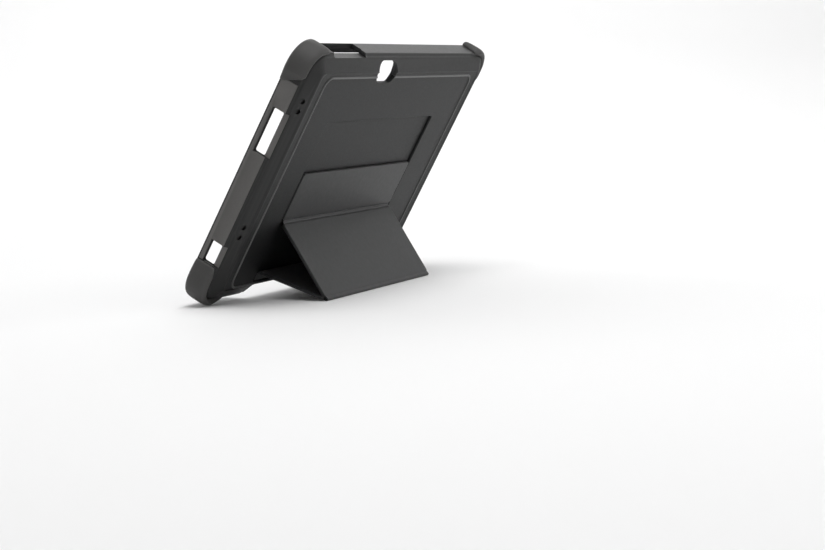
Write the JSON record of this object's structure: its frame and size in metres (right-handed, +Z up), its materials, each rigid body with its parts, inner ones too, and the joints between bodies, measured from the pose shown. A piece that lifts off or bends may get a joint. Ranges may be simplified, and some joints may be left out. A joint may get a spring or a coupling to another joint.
{
  "type": "tablet case",
  "caption": "Rugged tablet tray case with bumper corners, shock pads, port cut-outs and a folding triangular stand on its back.",
  "frame": {"origin": "middle of the floor area covered, on the floor that the lower bumpers and the stand's foot rest on", "axes": "+X along the long side, towards the side with the ports; +Y from the open screen side towards the back and the stand; +Z up"},
  "size_m": [0.287, 0.1032, 0.1684],
  "materials": {
    "soft_shell": "fine matt grain",
    "back_plastic": "matt, finely textured",
    "side_grip": "matt",
    "liner": "satin facets",
    "satin_band": "satin",
    "blue_pad": "satin",
    "stand_skin": "matt coated sheet",
    "board": "pressed fibre board",
    "steel": "plated"
  },
  "bodies": {
    "case": {"back_panel": "back_plastic", "corner_bumper_bottom_left": "soft_shell", "corner_bumper_bottom_right": "soft_shell", "corner_bumper_top_left": "soft_shell", "corner_bumper_top_right": "soft_shell", "floor_panel": "liner", "grip_band": "satin_band", "keeper_plate": "steel", "shock_liner": "liner", "shock_pad_bottom_left": "blue_pad", "shock_pad_bottom_right": "blue_pad", "shock_pad_top_left": "blue_pad", "shock_pad_top_right": "blue_pad", "side_grip_left": "side_grip", "side_grip_right": "side_grip", "soft_frame": "soft_shell", "stand_anchor": "stand_skin"},
    "base": {"base_hinge_bead": "stand_skin", "base_outer_skin": "stand_skin", "base_board": "board", "base_inner_skin": "stand_skin"},
    "leg": {"foot_bead": "stand_skin", "leg_outer_skin": "stand_skin", "leg_board": "board", "leg_inner_skin": "stand_skin"},
    "flap": {"fold_bead": "stand_skin", "flap_outer_skin": "stand_skin", "flap_board": "board", "flap_inner_skin": "stand_skin", "flap_magnet_1": "steel", "flap_magnet_2": "steel", "flap_magnet_3": "steel"}
  },
  "joints": [
    {"name": "base_fold", "type": "hinge", "parent": "case", "child": "base", "pos_m": [0.004, -0.02392, 0.01795], "axis": [1, 0, 0], "range_deg": [0, 79.5]},
    {"name": "leg_fold", "type": "hinge", "parent": "base", "child": "leg", "pos_m": [0.004, 0.02573, 0.0012], "axis": [1, 0, 0], "range_deg": [-140.72, 0]},
    {"name": "flap_fold", "type": "hinge", "parent": "leg", "child": "flap", "pos_m": [0.004, -0.00431, 0.05106], "axis": [1, 0, 0], "range_deg": [-119, 0]}
  ],
  "couplings": [
    {"joint": "leg_fold", "follows": "base_fold", "ratio": -1.7699}
  ]
}
